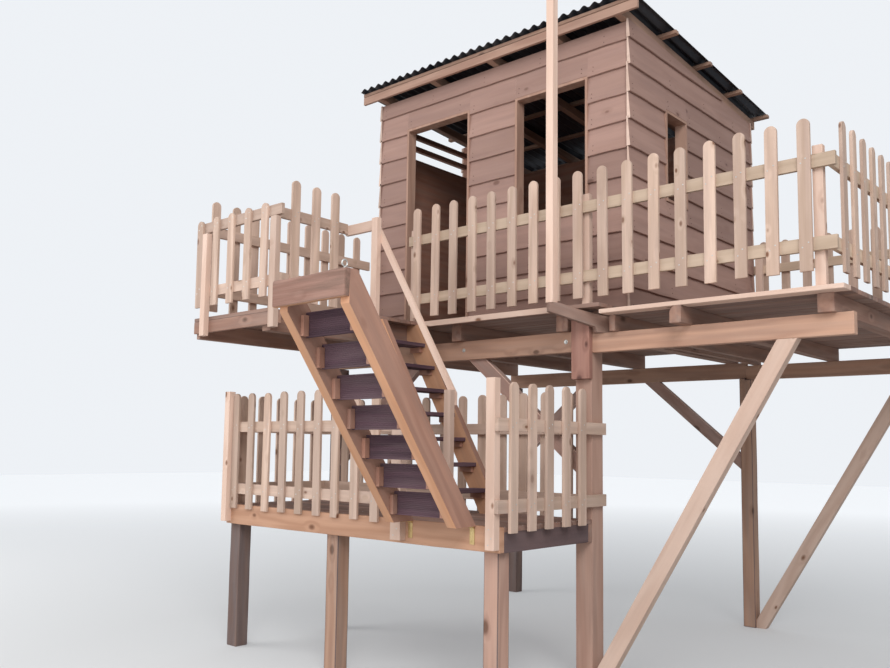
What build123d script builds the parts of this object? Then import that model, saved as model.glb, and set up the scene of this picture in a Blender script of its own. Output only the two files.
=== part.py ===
from build123d import *
from math import asin, atan, cos, degrees, radians, sin, tan
import os

# Tree house on posts: an upper deck with a boarded cabin, a lower landing, a steep fixed
# flight between them, and a second flight hinged at the landing's front edge.
# Millimetres. +X runs right along the front, +Y back, +Z up.
# The origin is the middle of the main post's foot, on the ground.

# Levels
deck_top = 2550
landing_top = 1100
board = 28

# Posts, beams and joists
post_width = 130
post_depth = 140
slim_post = 110
wide_post = 120
beam_height = 145
beam_thick = 60
joist_height = 132
joist_width = 95
rim_width = 45
cover_width = 145
cover_thick = 45
cover_drop = 195
cover_rise = 110

# Upper deck, with the balcony in front of its left end
deck_left = -2730
deck_right = 1775
deck_front = -220
deck_back = 2760
balcony_front = -1420
balcony_right = -1790
plain_joist = -1125
middle_joist = -147
joist_set_back = 100
trimmer_height = 92
trimmer_thick = 28
trimmer_right = -1665
edge_left = -1370
edge_right = -95
edge_height = 42
edge_thick = 22

# Right end of the deck, laid lower on its own half of the beams
deck_step = 215
step_drop = 50
right_joist_height = 110
right_beam_height = 130
first_joist = 235
log_joist = 765
log_width = 80
last_joist = 1640

# Cabin
cabin_left = -2605
cabin_right = 105
cabin_front = 430
cabin_back = 2680
cabin_height = 2270
wall_core = 70
clad_thick = 30
clad_thin = 12
course = 212
roof_fall = 4.3
door_left = -2215
door_right = -1505
door_height = 1930
window_left = -965
window_right = -305
window_sill = 910
window_head = 1900
side_window_front = 1000
side_window_back = 1320
side_window_sill = 1000
side_window_head = 1700
gable_gap_front = 730
gable_gap_back = 1630
gable_gap_height = 350
gable_rail = 45
lining = 22

# Roof
rafter_width = 60
rafter_height = 75
rafter_first = -2506
rafter_pitch = 655
rafter_count = 4
eave_front = 110
eave_back = 140
lath_height = 70
lath_thick = 24
verge = 115
batten_width = 45
batten_thick = 28
batten_count = 5
sheet_thick = 4
sheet_lap = 40
wave_pitch = 95
wave_height = 28

# Picket fences
picket_width = 75
picket_thick = 20
picket_height = 900
head_flats = 8
picket_pitch = 192
picket_lift = 50
picket_drop = 30
rail_thick = 28
rail_height = 80
low_rail = 115
high_rail = 600
stay_width = 60
stay_thick = 45
stay_over = 60

# Front fence of the deck, and the fences of the balcony
fence_left = -1625
fence_set_back = 50
front_first = 106
balcony_lift = 80
balcony_first = 68
balcony_pitch = 205
balcony_picket_height = 690
balcony_low_rail = 80
balcony_high_rail = 590
end_post_width = 65

# Mast, and the plank under it that reaches out from the front beam
mast_side = 58
mast_height = 2500
mast_x = -60
outrigger_x = -70
outrigger_y = -400
outrigger_angle = 33.6
outrigger_length = 470
outrigger_thick = 45
outrigger_tip = 63

# Landing
landing_left = -2690
landing_right = 65
landing_front = -1080
fascia_thick = 45
fascia_height = 150
landing_post_depth = 110
middle_post = -1465
landing_pitch = 199
side_pitch = 187
gate_post_width = 90
corner_post_width = 68
outer_post_thick = 55
outer_post_drop = 130
left_post_width = 62
gate_left = -705
side_first = 80
rear_post = -2575

# Fixed flight from the landing to the balcony
steps = 8
first_nosing = -680
step_run = 105
tread_depth = 145
tread_thick = 28
stringer_thick = 50
stringer_width = 165
nosing_margin = 15
stair_near = -670
stair_far = -225
housing = 10
cleat_height = 40
cleat_thick = 28
newel_width = 60
newel_thick = 45
handrail_width = 45
handrail_thick = 28
handrail_low = -655
handrail_low_height = 845
handrail_slope = 58.6
newel_top = 3300

# Hinged flight, held up at the front of the landing
raised_angle = 54.3
swing_left = -696
swing_right = -109
swing_length = 1730
swing_width = 150
swing_thick = 70
swing_treads = 7
swing_first = 266
swing_pitch = 213
swing_inset = 22
foot_gap = 10
header_depth = 158
header_thick = 42
header_overhang = 30
toe_cut = 55
barrel = 6.5
pin = 3.5
pin_play = 0.4
leaf_thick = 3
leaf_height = 104
leaf_width = 36
leaf_gap = 8
eye_inset = 30
eye_radius = 18
eye_wire = 5

# Braces
brace_width = 105
brace_thick = 70
brace_angle = 59.5
brace_butt = 70
knee_reach = 990
knee_drop = 845
knee_seat = 165
knee_butt = 140
knee_thick = 60

rise = (deck_top - landing_top) / steps
joist_top = deck_top - board
beam_top = joist_top - joist_height
beam_foot = beam_top - beam_height
right_top = deck_top - step_drop
right_joist_top = right_top - board
right_beam_top = right_joist_top - right_joist_height
right_beam_foot = right_beam_top - right_beam_height
post_face = -post_depth / 2
wall_top = deck_top + cabin_height
fall = tan(radians(roof_fall))
rear_beam_front = cabin_back
rear_post_y = rear_beam_front + beam_thick / 2

os.makedirs("parts", exist_ok=True)


def block(x0, x1, y0, y1, z0, z1):
    """A squared timber or a board between two corners."""
    place = Pos((x0 + x1) / 2, (y0 + y1) / 2, (z0 + z1) / 2)
    return place * Box(abs(x1 - x0), abs(y1 - y0), abs(z1 - z0))


def post(x, y, width, depth, z0, z1):
    """An upright centred on x and y."""
    return block(x - width / 2, x + width / 2, y - depth / 2, y + depth / 2, z0, z1)


def flat_xz(points, y0, y1):
    """A plank whose outline is drawn in the XZ plane, from y0 back to y1."""
    face = Plane.XZ * make_face(Polyline(*points, close=True))
    return Pos(0, y1, 0) * extrude(face, y1 - y0)


def flat_yz(points, x0, x1):
    """A plank whose outline is drawn in the YZ plane, from x0 right to x1."""
    face = Plane.YZ * make_face(Polyline(*points, close=True))
    return Pos(x0, 0, 0) * extrude(face, x1 - x0)


def save(name, *solids):
    """Write one piece, or a set of like pieces that stand apart."""
    shape = solids[0] if len(solids) == 1 else Compound(children=list(solids))
    export_step(shape, f"parts/{name}.step")


def fuse(solids):
    """Join boards that are nailed face to face into one solid."""
    body = solids[0]
    for other in solids[1:]:
        body = body + other
    return body


def roof_under(y):
    """Height of the rafters' underside, which is also the top of the walls."""
    return wall_top - (y - cabin_front) * fall


def picket(height):
    """A fence picket with a round head: its foot at z 0, centred on x, front face at y 0."""
    radius = picket_width / 2
    turns = [radians(180 * i / head_flats) for i in range(head_flats + 1)]
    head = [(radius * cos(turn), height - radius + radius * sin(turn)) for turn in turns]
    return flat_xz([(-radius, 0), (radius, 0)] + head, 0, picket_thick)


def fence(length, first, pitch, last_margin=0, height=picket_height, rail_feet=(low_rail, high_rail)):
    """A panel along +X with its pickets in front of two rails, the pickets' feet at z 0."""
    back = picket_thick + rail_thick
    rails = [block(0, length, picket_thick, back, z, z + rail_height) for z in rail_feet]
    count = int((length - last_margin - first - picket_width / 2) // pitch) + 1
    one = picket(height)
    return fuse(rails + [Pos(first + i * pitch, 0, 0) * one for i in range(count)])


def stay(along, foot):
    """A fence stay behind the rails, in the panel's own frame, its foot at the given depth."""
    back = picket_thick + rail_thick
    top = high_rail + rail_height + stay_over
    return block(along - stay_width / 2, along + stay_width / 2, back, back + stay_thick, -foot, top)


# Main post, notched for the two beams that meet in its front, with a cover block over the joint
main = block(-post_width / 2, post_width / 2, post_face, -post_face, 0, beam_top)
for x0, x1, foot in ((-post_width, 0, beam_foot), (0, post_width, right_beam_foot)):
    main = main - block(x0, x1, post_face - 1, post_face + beam_thick, foot, beam_top + 1)
save("main_post", main)
save("main_post_cover", block(-cover_width / 2, cover_width / 2, post_face - cover_thick, post_face,
                              beam_foot - cover_drop, beam_top + cover_rise))

# Other posts: two under the rear beam, three behind the landing's fascia, one behind its left end
landing_under = landing_top - board
front_row = landing_front + fascia_thick + landing_post_depth / 2
rear_row = post_face + slim_post / 2
save("posts",
     post(deck_left + slim_post / 2, rear_post_y, slim_post, slim_post, 0, beam_foot),
     fuse([post(-slim_post / 4, rear_post_y, slim_post / 2, slim_post, 0, beam_foot),
           post(slim_post / 4, rear_post_y, slim_post / 2, slim_post, 0, right_beam_foot)]),
     post(landing_left + wide_post / 2, front_row, wide_post, landing_post_depth, 0, landing_under),
     post(middle_post, front_row, wide_post, landing_post_depth, 0, landing_under),
     post(landing_right - rim_width - slim_post / 2, front_row, slim_post, landing_post_depth,
          0, landing_under),
     post(rear_post, rear_row, slim_post, slim_post, 0, beam_foot))

# Beams, in two lengths that meet on the posts. The right lengths lie lower, as their deck does.
save("beams",
     block(deck_left - rim_width, 0, post_face, post_face + beam_thick, beam_foot, beam_top),
     block(0, deck_right, post_face, post_face + beam_thick, right_beam_foot, right_beam_top),
     block(deck_left, 0, rear_beam_front, rear_beam_front + beam_thick, beam_foot, beam_top),
     block(0, deck_right, rear_beam_front, rear_beam_front + beam_thick, right_beam_foot, right_beam_top))


def long_brace(butt_x, y_mid):
    """A prop from beside a post's foot out to the beam, with a plumb butt against the post."""
    slope = tan(radians(brace_angle))
    wide = brace_width / sin(radians(brace_angle))
    top_in = butt_x + (right_beam_foot - brace_butt) / slope
    toe = butt_x - brace_butt / slope + wide
    outline = [(butt_x, 0), (toe, 0), (toe + right_beam_foot / slope, right_beam_foot),
               (top_in, right_beam_foot), (butt_x, brace_butt)]
    return flat_xz(outline, y_mid - brace_thick / 2, y_mid + brace_thick / 2)


def knee_brace(butt_x, side, y_front):
    """A plank brace from a post's face up to the underside of the beam."""
    foot = beam_foot - knee_drop
    out = butt_x + side * knee_reach
    outline = [(butt_x, foot), (out, beam_foot), (out - side * knee_seat, beam_foot),
               (butt_x, foot + knee_butt)]
    return flat_xz(outline, y_front, y_front + knee_thick)


knee_front = post_face + picket_thick + 2
save("braces",
     long_brace(post_width / 2, post_face + brace_thick / 2),
     long_brace(slim_post / 2, rear_post_y),
     knee_brace(-post_width / 2, -1, knee_front),
     knee_brace(rear_post + slim_post / 2, 1, knee_front),
     knee_brace(deck_left + slim_post, 1, rear_post_y - knee_thick / 2),
     knee_brace(-slim_post / 2, -1, rear_post_y - knee_thick / 2))


def plain(x, y0, width, foot, top):
    """A joist across both beams, centred on x."""
    return block(x - width / 2, x + width / 2, y0, deck_back, foot, top)


def log_sawn_joist(x, y0):
    """The joist sawn from a log, with the round of the trunk along its upper left arris."""
    left, right = x - log_width / 2, x + log_width / 2
    cut = log_width * 0.6
    slant = cut * (1 - cos(radians(45)))
    outline = make_face([Line((left, right_beam_top), (right, right_beam_top)),
                         Line((right, right_beam_top), (right, right_joist_top)),
                         Line((right, right_joist_top), (left + cut, right_joist_top)),
                         ThreePointArc((left + cut, right_joist_top),
                                       (left + slant, right_joist_top - slant),
                                       (left, right_joist_top - cut)),
                         Line((left, right_joist_top - cut), (left, right_beam_top))])
    return Pos(0, deck_back, 0) * extrude(Plane.XZ * outline, deck_back - y0)


def outrigger():
    """The plank on edge that runs askew over the front beam and out to its tip under the mast."""
    reach = (post_face - outrigger_y) / cos(radians(outrigger_angle))
    seat = reach - outrigger_thick
    level = mast_side * 1.3
    outline = [(0, deck_top - outrigger_tip), (0, deck_top), (level, deck_top),
               (reach * 0.48, joist_top - 4), (outrigger_length, right_joist_top - 7),
               (outrigger_length, right_beam_top), (seat, right_beam_top), (seat - 15, beam_top + 10)]
    plank = flat_xz(outline, -outrigger_thick / 2, outrigger_thick / 2)
    return Pos(outrigger_x, outrigger_y, 0) * Rot(0, 0, 90 - outrigger_angle) * plank


set_back = deck_front + joist_set_back
trimmer_back = balcony_front + trimmer_thick
wall_joist = post_width / 2 + 5 + rim_width / 2
top_nosing = first_nosing - step_run * (steps - 1)
stair_head_beam = top_nosing - tread_depth * 0.65
save("deck_joists",
     block(deck_left, deck_left + rim_width, trimmer_back, deck_back, beam_top, joist_top),
     block(balcony_right - joist_width, balcony_right, trimmer_back, deck_back, beam_top, joist_top),
     block(deck_left, trimmer_right, balcony_front, trimmer_back, joist_top - trimmer_height, joist_top),
     plain(plain_joist, set_back, joist_width, beam_top, joist_top),
     plain(middle_joist, set_back, joist_width, beam_top, joist_top),
     plain(wall_joist, post_face, rim_width, right_beam_top, joist_top),
     plain(first_joist + rim_width / 2, set_back, rim_width, right_beam_top, right_joist_top),
     log_sawn_joist(log_joist, deck_front),
     plain(last_joist, set_back, joist_width, right_beam_top, right_joist_top),
     block(stair_head_beam - rim_width, stair_head_beam, stair_near, cabin_front, beam_top, joist_top),
     outrigger())

# Deck boards: the main deck, its lower right end, the balcony and the head of the stair
save("deck_main", block(deck_left, deck_step, deck_front, deck_back, joist_top, deck_top))
save("deck_right", block(deck_step, deck_right, deck_front, deck_back, right_joist_top, right_top))
save("deck_balcony", block(deck_left, balcony_right, balcony_front, deck_front, joist_top, deck_top))
save("stair_head", block(balcony_right, top_nosing, stair_near, deck_front, joist_top, deck_top))
save("edge_board", block(edge_left, edge_right, deck_front - edge_thick, deck_front,
                         deck_top - edge_height, deck_top))
save("mast", block(mast_x - mast_side / 2, mast_x + mast_side / 2, outrigger_y,
                   outrigger_y + mast_side, deck_top, deck_top + mast_height))

# Fences of the upper deck. Each is made along +X and turned so that its pickets face out.
picket_foot = deck_top + picket_lift
fence_front = deck_front + fence_set_back
corner_x = deck_right - fence_set_back
corner_y = deck_back - fence_set_back
behind = picket_thick + rail_thick
corner_first = picket_pitch * 0.75
front_place = Pos(fence_left, fence_front, picket_foot)
front_length = corner_x - fence_left
save("front_fence", front_place * fence(front_length, front_first, picket_pitch))
right_place = Pos(corner_x, fence_front + behind, picket_foot) * Rot(0, 0, 90)
right_length = corner_y - fence_front - behind
save("right_fence", right_place * fence(right_length, corner_first, picket_pitch))
rear_place = Pos(corner_x - behind, corner_y, picket_foot) * Rot(0, 0, 180)
rear_length = corner_x - behind - cabin_right
save("rear_fence", rear_place * fence(rear_length, corner_first, picket_pitch))

# Fences of the balcony. The front one is lower, and its rails run on to the end post.
balcony_foot = deck_top + balcony_lift
balcony_place = Pos(deck_left, balcony_front - picket_thick, balcony_foot)
balcony_length = trimmer_right - deck_left
save("balcony_front_fence",
     balcony_place * fence(balcony_length, balcony_first, balcony_pitch, end_post_width,
                           balcony_picket_height, (balcony_low_rail, balcony_high_rail)))
side_place = Pos(balcony_right + picket_thick, balcony_front + rail_thick, balcony_foot) * Rot(0, 0, 90)
side_length = stair_near - balcony_front - rail_thick
save("balcony_side_fence", side_place * fence(side_length, picket_pitch, picket_pitch))
left_place = Pos(deck_left - picket_thick, cabin_front, balcony_foot) * Rot(0, 0, -90)
left_length = cabin_front - balcony_front - rail_thick
save("balcony_left_fence", left_place * fence(left_length, corner_first, picket_pitch))

# Landing: boards, fascia, and the beams under the boards
boards_front = landing_front + fascia_thick
landing_foot = landing_top - fascia_height
save("landing_deck", block(landing_left, landing_right, boards_front, post_face, landing_under, landing_top))
save("landing_fascia", block(landing_left, landing_right, landing_front, boards_front,
                             landing_foot, landing_top))
inner_front = boards_front + landing_post_depth
rear_rail = post_face - rim_width
middle_rim = middle_post + wide_post / 2
save("landing_joists",
     block(landing_left, landing_left + rim_width, inner_front, rear_rail, landing_foot, landing_under),
     block(middle_rim, middle_rim + rim_width, boards_front, rear_rail, landing_foot, landing_under),
     block(landing_right - rim_width, landing_right, boards_front, rear_rail, landing_foot, landing_under))
save("landing_beam", block(landing_left, landing_right, rear_rail, post_face, landing_foot, landing_under))

# Fences of the landing
landing_picket_foot = landing_top - picket_drop
front_x = landing_left + left_post_width + 5 + picket_width / 2
landing_front_place = Pos(landing_left, landing_front - picket_thick, landing_picket_foot)
landing_front_length = gate_left - landing_left
save("landing_front_fence",
     landing_front_place * fence(landing_front_length, front_x - landing_left, landing_pitch,
                                 gate_post_width))
outer_front = landing_front - outer_post_thick
landing_right_place = Pos(landing_right + behind, outer_front, landing_picket_foot) * Rot(0, 0, 90)
landing_right_length = -post_face - outer_front
save("landing_right_fence",
     landing_right_place * fence(landing_right_length, outer_post_thick + side_first, side_pitch,
                                 post_depth + picket_width))
rear_start = landing_right - rail_thick - 5
rear_run = rear_start - landing_left
rear_first = rear_start + post_width / 2 + picket_width
landing_rear_place = Pos(rear_start, post_face + picket_thick, landing_picket_foot) * Rot(0, 0, 180)
rear_margin = rear_post + slim_post / 2 - landing_left
save("landing_rear_fence", landing_rear_place * fence(rear_run, rear_first, picket_pitch, rear_margin))
left_start = post_face - rail_thick
landing_left_place = Pos(landing_left - picket_thick, left_start, landing_picket_foot) * Rot(0, 0, -90)
landing_left_length = left_start - landing_front - rail_thick
save("landing_left_fence",
     landing_left_place * fence(landing_left_length, picket_pitch / 2, side_pitch, picket_width / 2))

# Fence posts: stays behind the upper rails, and heavier posts outside the edge boards
outer_foot = landing_top - outer_post_drop
outer_head = landing_picket_foot + picket_height + 20
balcony_post_foot = joist_top - trimmer_height - 30
balcony_post_head = balcony_foot + balcony_high_rail - 20
balcony_post_x = deck_left + balcony_first + balcony_pitch / 2
low_stay = picket_lift + step_drop
save("fence_posts",
     front_place * stay(stay_width / 2, picket_lift),
     front_place * stay(front_length / 2, picket_lift),
     front_place * stay(front_length - behind - stay_width, low_stay),
     right_place * stay(right_length / 2, low_stay),
     right_place * stay(right_length - behind - stay_width, low_stay),
     rear_place * stay(rear_length - stay_width, picket_lift),
     block(balcony_post_x - stay_width / 2, balcony_post_x + stay_width / 2,
           balcony_front - stay_thick, balcony_front, balcony_post_foot, balcony_post_head),
     block(trimmer_right - end_post_width, trimmer_right,
           balcony_front - stay_thick, balcony_front, balcony_post_foot, balcony_post_head),
     block(landing_left, landing_left + left_post_width, outer_front, landing_front, outer_foot, outer_head),
     block(gate_left - gate_post_width, gate_left, outer_front, landing_front, outer_foot, outer_head),
     block(landing_right - corner_post_width, landing_right, outer_front, landing_front,
           outer_foot, outer_head))

# Cabin walls. Each opening is larger than its frame by the thickness of the frame's lining.
core_front = cabin_front + clad_thick
core_back = cabin_back - clad_thick
core_left = cabin_left + clad_thick
core_right = cabin_right - clad_thick
inner_left = core_left + wall_core
inner_right = core_right - wall_core
inner_y0 = core_front + wall_core
inner_y1 = core_back - wall_core
door_head = deck_top + door_height
sill_z = deck_top + window_sill
head_z = deck_top + window_head
side_sill_z = deck_top + side_window_sill
side_head_z = deck_top + side_window_head
left_wall_top = roof_under(gable_gap_back) - gable_gap_height


def under_roof(x0, x1, y0, y1, z0):
    """A length of wall from z0 up to the rafters, its top cut to the roof's slope."""
    return flat_yz([(y0, z0), (y1, z0), (y1, roof_under(y1)), (y0, roof_under(y0))], x0, x1)


save("front_wall_piers",
     under_roof(core_left, door_left - lining, core_front, inner_y0, deck_top),
     under_roof(door_right + lining, window_left - lining, core_front, inner_y0, deck_top),
     under_roof(window_right + lining, core_right, core_front, inner_y0, deck_top))
save("front_wall_panels",
     under_roof(door_left - lining, door_right + lining, core_front, inner_y0, door_head + lining),
     under_roof(window_left - lining, window_right + lining, core_front, inner_y0, head_z + lining),
     block(window_left - lining, window_right + lining, core_front, inner_y0, deck_top, sill_z - lining))
save("right_wall_piers",
     under_roof(inner_right, core_right, inner_y0, side_window_front - lining, deck_top),
     under_roof(inner_right, core_right, side_window_back + lining, inner_y1, deck_top))
save("right_wall_panels",
     block(inner_right, core_right, side_window_front - lining, side_window_back + lining,
           deck_top, side_sill_z - lining),
     under_roof(inner_right, core_right, side_window_front - lining, side_window_back + lining,
                side_head_z + lining))
save("rear_wall", under_roof(core_left, core_right, inner_y1, core_back, deck_top))
save("left_wall", block(core_left, inner_left, inner_y0, inner_y1, deck_top, left_wall_top))
save("left_wall_uppers",
     under_roof(core_left, inner_left, inner_y0, gable_gap_front, left_wall_top),
     under_roof(core_left, inner_left, gable_gap_back, inner_y1, left_wall_top))
rail_y0, rail_y1 = gable_gap_front, gable_gap_back
save("left_wall_rails",
     block(core_left, core_left + gable_rail, rail_y0, rail_y1, left_wall_top + gable_gap_height * 0.3,
           left_wall_top + gable_gap_height * 0.3 + gable_rail),
     block(core_left, core_left + gable_rail, rail_y0, rail_y1, left_wall_top + gable_gap_height * 0.65,
           left_wall_top + gable_gap_height * 0.65 + gable_rail))


def courses():
    """The saw-tooth section of lapped boards: distance out from the wall, and height."""
    outline = [(0, deck_top)]
    z = deck_top
    while z < wall_top:
        outline += [(clad_thick, z), (clad_thin, z + course)]
        z += course
    return outline + [(0, z)]


below_roof = under_roof(cabin_left - verge, cabin_right + verge, cabin_front - eave_front,
                        cabin_back + eave_back, deck_top)
front_courses = flat_yz([(core_front - d, z) for d, z in courses()], cabin_left, cabin_right)
rear_courses = flat_yz([(core_back + d, z) for d, z in courses()], cabin_left, cabin_right)
right_courses = flat_xz([(core_right + d, z) for d, z in courses()], core_front, core_back)
left_courses = flat_xz([(core_left - d, z) for d, z in courses()], core_front, core_back)
through = 50
door_gap = block(door_left - lining, door_right + lining, cabin_front - through, inner_y0 + through,
                 deck_top - 1, door_head + lining)
window_gap = block(window_left - lining, window_right + lining, cabin_front - through,
                   inner_y0 + through, sill_z - lining, head_z + lining)
side_gap = block(inner_right - through, cabin_right + through, side_window_front - lining,
                 side_window_back + lining, side_sill_z - lining, side_head_z + lining)
gable_gap = block(cabin_left - through, inner_left + through, gable_gap_front, gable_gap_back,
                  left_wall_top, wall_top)
save("front_cladding", (front_courses & below_roof) - door_gap - window_gap)
save("rear_cladding", rear_courses & below_roof)
save("right_cladding", (right_courses & below_roof) - side_gap)
save("left_cladding", (left_courses & below_roof) - gable_gap)

# Linings of the openings, flush with the boards outside
window_out = block(window_left - lining, window_right + lining, cabin_front, inner_y0,
                   sill_z - lining, head_z + lining)
window_in = block(window_left, window_right, cabin_front - 1, inner_y0 + 1, sill_z, head_z)
save("window_frame", window_out - window_in)
side_out = block(inner_right, cabin_right, side_window_front - lining, side_window_back + lining,
                 side_sill_z - lining, side_head_z + lining)
side_in = block(inner_right - 1, cabin_right + 1, side_window_front, side_window_back,
                side_sill_z, side_head_z)
save("side_window_frame", side_out - side_in)
door_out = block(door_left - lining, door_right + lining, cabin_front, inner_y0,
                 deck_top, door_head + lining)
door_in = block(door_left, door_right, cabin_front - 1, inner_y0 + 1, deck_top - 1, door_head)
save("door_frame", door_out - door_in)

# Roof: rafters on the wall tops, a lath across their front ends, battens and a ribbed sheet
roof_y0 = cabin_front - eave_front
roof_y1 = cabin_back + eave_back


def sloped(x0, x1, y0, y1, lift, height):
    """A timber that lies along the roof's slope, lifted above the rafters' underside."""
    return flat_yz([(y0, roof_under(y0) + lift), (y1, roof_under(y1) + lift),
                    (y1, roof_under(y1) + lift + height), (y0, roof_under(y0) + lift + height)], x0, x1)


rafter_x = [rafter_first + i * rafter_pitch for i in range(rafter_count)]
rafter_x.append(core_right - rafter_width / 2)
save("rafters", *[sloped(x - rafter_width / 2, x + rafter_width / 2, roof_y0 + lath_thick, roof_y1,
                         0, rafter_height) for x in rafter_x])
roof_left = cabin_left - verge
roof_right = cabin_right + verge
save("eave_lath", sloped(roof_left, roof_right, roof_y0, roof_y0 + lath_thick, 0, lath_height))
batten_run = roof_y1 - roof_y0 - batten_width
save("roof_battens", *[sloped(roof_left, roof_right, y, y + batten_width, rafter_height, batten_thick)
                       for y in (roof_y0 + batten_run * i / (batten_count - 1) for i in range(batten_count))])
flat = wave_pitch * 0.3
slant = wave_pitch * 0.2
crest = []
x = roof_left
while x + wave_pitch <= roof_right + sheet_lap:
    crest += [(x, 0), (x + flat, 0), (x + flat + slant, wave_height),
              (x + 2 * flat + slant, wave_height)]
    x += wave_pitch
sheet_y0 = roof_y0 - sheet_lap
sheet_base = roof_under(sheet_y0) + rafter_height + batten_thick
section = crest + [(px, pz + sheet_thick) for px, pz in reversed(crest)]
sheet_run = roof_y1 + sheet_lap - sheet_y0
sheet_face = Plane.XZ * make_face(Polyline(*section, close=True))
sheet_way = Vector(0, cos(radians(roof_fall)), -sin(radians(roof_fall)))
sheet = extrude(sheet_face, sheet_run / cos(radians(roof_fall)), dir=sheet_way)
save("roof_sheet", Pos(0, sheet_y0, sheet_base) * sheet)

# Fixed flight. Its treads are let into both stringers and rest on cleats.
pitch_slope = rise / step_run
pitch_sin = sin(atan(pitch_slope))


def stair_x(z, offset):
    """Where a line square to the flight's pitch, offset up from the nosings, meets height z."""
    return first_nosing - (z - landing_top - rise) / pitch_slope + offset / pitch_sin


front_edge = nosing_margin
back_edge = nosing_margin - stringer_width
back_top_x = stair_head_beam
back_top_z = landing_top + rise + (first_nosing + back_edge / pitch_sin - back_top_x) * pitch_slope
stringer_outline = [(stair_x(landing_top, back_edge), landing_top),
                    (stair_x(landing_top, front_edge), landing_top),
                    (stair_x(joist_top, front_edge), joist_top), (back_top_x, joist_top),
                    (back_top_x, back_top_z)]
near_inner = stair_near + stringer_thick
far_inner = stair_far - stringer_thick
treads = []
cleats = []
for k in range(1, steps):
    nosing = first_nosing - (k - 1) * step_run
    top = landing_top + k * rise
    treads.append(block(nosing - tread_depth, nosing, near_inner - housing, far_inner + housing,
                        top - tread_thick, top))
    for side, y in ((1, near_inner), (-1, far_inner)):
        cleats.append(block(nosing - tread_depth + 10, nosing - 25, y, y + side * cleat_thick,
                            top - tread_thick - cleat_height, top - tread_thick))
near_stringer = flat_xz(stringer_outline, stair_near, near_inner)
far_stringer = flat_xz(stringer_outline, far_inner, stair_far)
for tread in treads:
    near_stringer = near_stringer - tread
    far_stringer = far_stringer - tread
save("stair_stringers", near_stringer, far_stringer)
save("stair_treads", *treads)
save("stair_cleats", *cleats)

# Newels on the near side, the handrail between them, and the rail back to the balcony's fence
newel_face = stair_near - newel_thick
rail_slope = tan(radians(handrail_slope))
rail_drop = handrail_width / cos(radians(handrail_slope))
lower_x0 = handrail_low - newel_width
upper_x1 = top_nosing
upper_x0 = upper_x1 - newel_width
low_z = landing_top + handrail_low_height
rail_top_x = upper_x0 + newel_width * 0.4
rail_top_z = low_z + (handrail_low - rail_top_x) * rail_slope
handrail_line = [(handrail_low, low_z), (rail_top_x, rail_top_z), (rail_top_x, rail_top_z - rail_drop),
                 (handrail_low, low_z - rail_drop)]
save("handrail", flat_xz(handrail_line, stair_near, stair_near + handrail_thick))
save("newels",
     block(lower_x0, handrail_low, newel_face, stair_near, landing_top, low_z + 20),
     block(upper_x0, upper_x1, newel_face, stair_near, beam_top, newel_top))
save("stair_head_rail", block(balcony_right - rail_thick, upper_x0 + newel_width * 0.3, stair_near,
                              stair_near + rail_thick, newel_top - rail_height, newel_top))

# Hinged flight, laid out lowered with its treads level and then turned up about the hinge pin
pin_y = landing_front - leaf_thick - leaf_gap / 2
pin_z = landing_top - barrel - 1
end_y = pin_y - leaf_gap / 2 - leaf_thick
sole = foot_gap + header_thick
lowered_angle = degrees(asin((pin_z - sole - toe_cut) / swing_length))
turn = raised_angle + lowered_angle
lean = radians(lowered_angle)
end_drop = swing_width / cos(lean)
toe_y = end_y - swing_length * cos(lean)
toe_z = pin_z - swing_length * sin(lean)
heel_y = end_y - (pin_z - end_drop - sole) / tan(lean)


def raised(solid):
    """Turn a solid of the lowered flight up to where it is held."""
    return Pos(0, pin_y, pin_z) * Rot(-turn, 0, 0) * Pos(0, -pin_y, -pin_z) * solid


side_outline = [(end_y, pin_z), (toe_y, toe_z), (toe_y, sole), (heel_y, sole),
                (end_y, pin_z - end_drop)]
left_side = flat_yz(side_outline, swing_left, swing_left + swing_thick)
right_side = flat_yz(side_outline, swing_right - swing_thick, swing_right)
inner_x0 = swing_left + swing_thick
inner_x1 = swing_right - swing_thick
swing_boards = []
swing_cleats = []
for k in range(swing_treads):
    along = swing_first + k * swing_pitch
    top = pin_z - along * sin(lean)
    nosing = end_y - along * cos(lean) + swing_inset
    swing_boards.append(block(inner_x0 - housing, inner_x1 + housing, nosing, nosing + tread_depth,
                              top - tread_thick, top))
    for side, x in ((1, inner_x0), (-1, inner_x1)):
        swing_cleats.append(block(x, x + side * cleat_thick, nosing + 20, nosing + tread_depth - 5,
                                  top - tread_thick - cleat_height, top - tread_thick))
for tread in swing_boards:
    left_side = left_side - tread
    right_side = right_side - tread
save("flight_stringers", raised(left_side), raised(right_side))
save("flight_treads", *[raised(s) for s in swing_boards])
save("flight_cleats", *[raised(s) for s in swing_cleats])
header_x0 = swing_left - header_overhang
header_round = header_thick * 0.5
header_back = toe_y + header_depth
header_outline = [Line((header_back, foot_gap), (header_back, sole)),
                  Line((header_back, sole), (toe_y, sole)),
                  Line((toe_y, sole), (toe_y, foot_gap + header_round)),
                  ThreePointArc((toe_y, foot_gap + header_round),
                                (toe_y + header_round * 0.3, foot_gap + header_round * 0.3),
                                (toe_y + header_round, foot_gap)),
                  Line((toe_y + header_round, foot_gap), (header_back, foot_gap))]
header = Pos(header_x0, 0, 0) * extrude(Plane.YZ * make_face(header_outline), swing_right - header_x0)
save("flight_header", raised(header))

# Butt hinges under the stringers' ends. The fixed leaf carries the pin and the middle knuckle.
third = leaf_width / 3
knuckle_gap = 0.6
shy = barrel + 1.5


def knuckle(x0, x1, bore):
    """A length of the hinge's barrel along X, bored where it turns on the pin."""
    ring = Circle(barrel) if bore == 0 else Circle(barrel) - Circle(bore)
    return Pos(x0, pin_y, pin_z) * extrude(Plane.YZ * ring, x1 - x0)


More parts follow.
